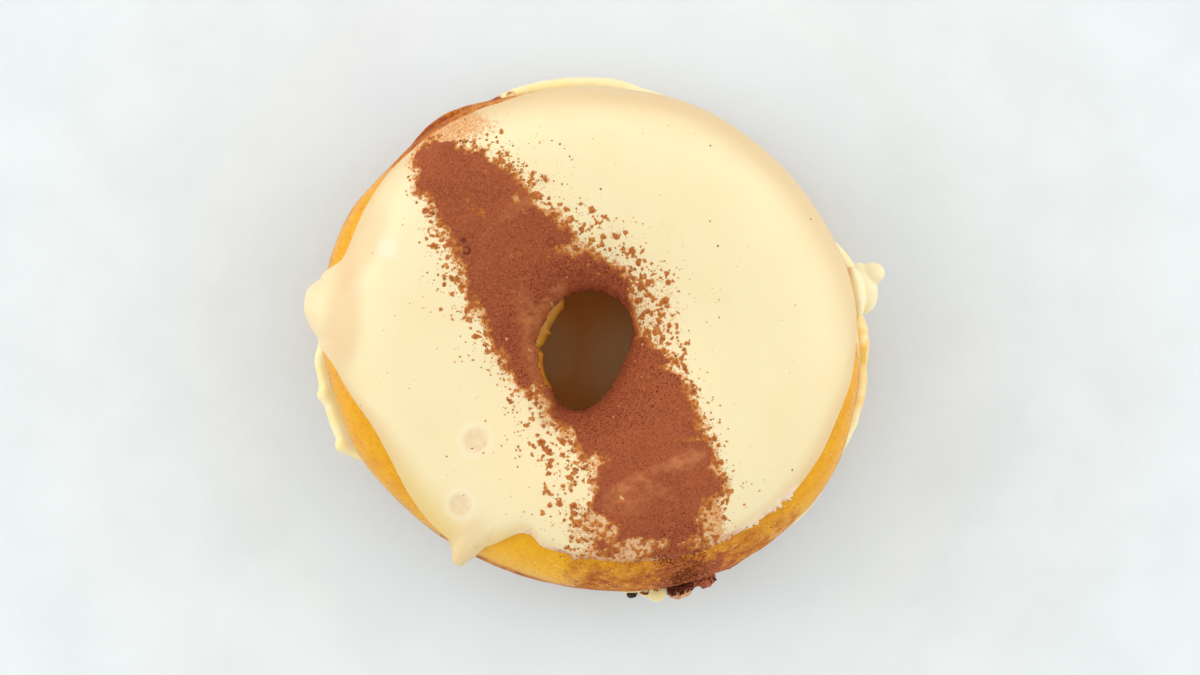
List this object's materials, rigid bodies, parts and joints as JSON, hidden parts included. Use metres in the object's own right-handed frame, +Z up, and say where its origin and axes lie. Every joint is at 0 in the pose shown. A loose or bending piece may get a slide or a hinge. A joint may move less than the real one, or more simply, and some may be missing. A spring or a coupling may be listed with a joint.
{
  "type": "filled ring doughnut",
  "caption": "Ring doughnut cut through and filled with cream, topped with pale icing and a diagonal stripe of cocoa.",
  "frame": {"origin": "middle of the underside, at the centre of the whole outline", "axes": "+Z up out of the icing; +X to the right and +Y to the top of the picture, which looks straight down"},
  "size_m": [0.1012, 0.0922, 0.0397],
  "materials": {
    "lower_dough": "fried dough, golden brown, with a fine blistered crust",
    "upper_dough": "fried dough, golden yellow, with a fine blistered crust and a slight oily sheen",
    "cream": "soft pale yellow cream, smooth, with a moist sheen",
    "icing": "set pale cream icing, smooth satin, with a dusted cocoa stripe",
    "cocoa": "matt cocoa powder, reddish brown, grainy",
    "chocolate": "dark chocolate, satin"
  },
  "bodies": {
    "root": {"dough_base": "lower_dough", "cream_filling": "cream", "dough_top": "upper_dough", "icing": "icing"}
  },
  "joints": []
}
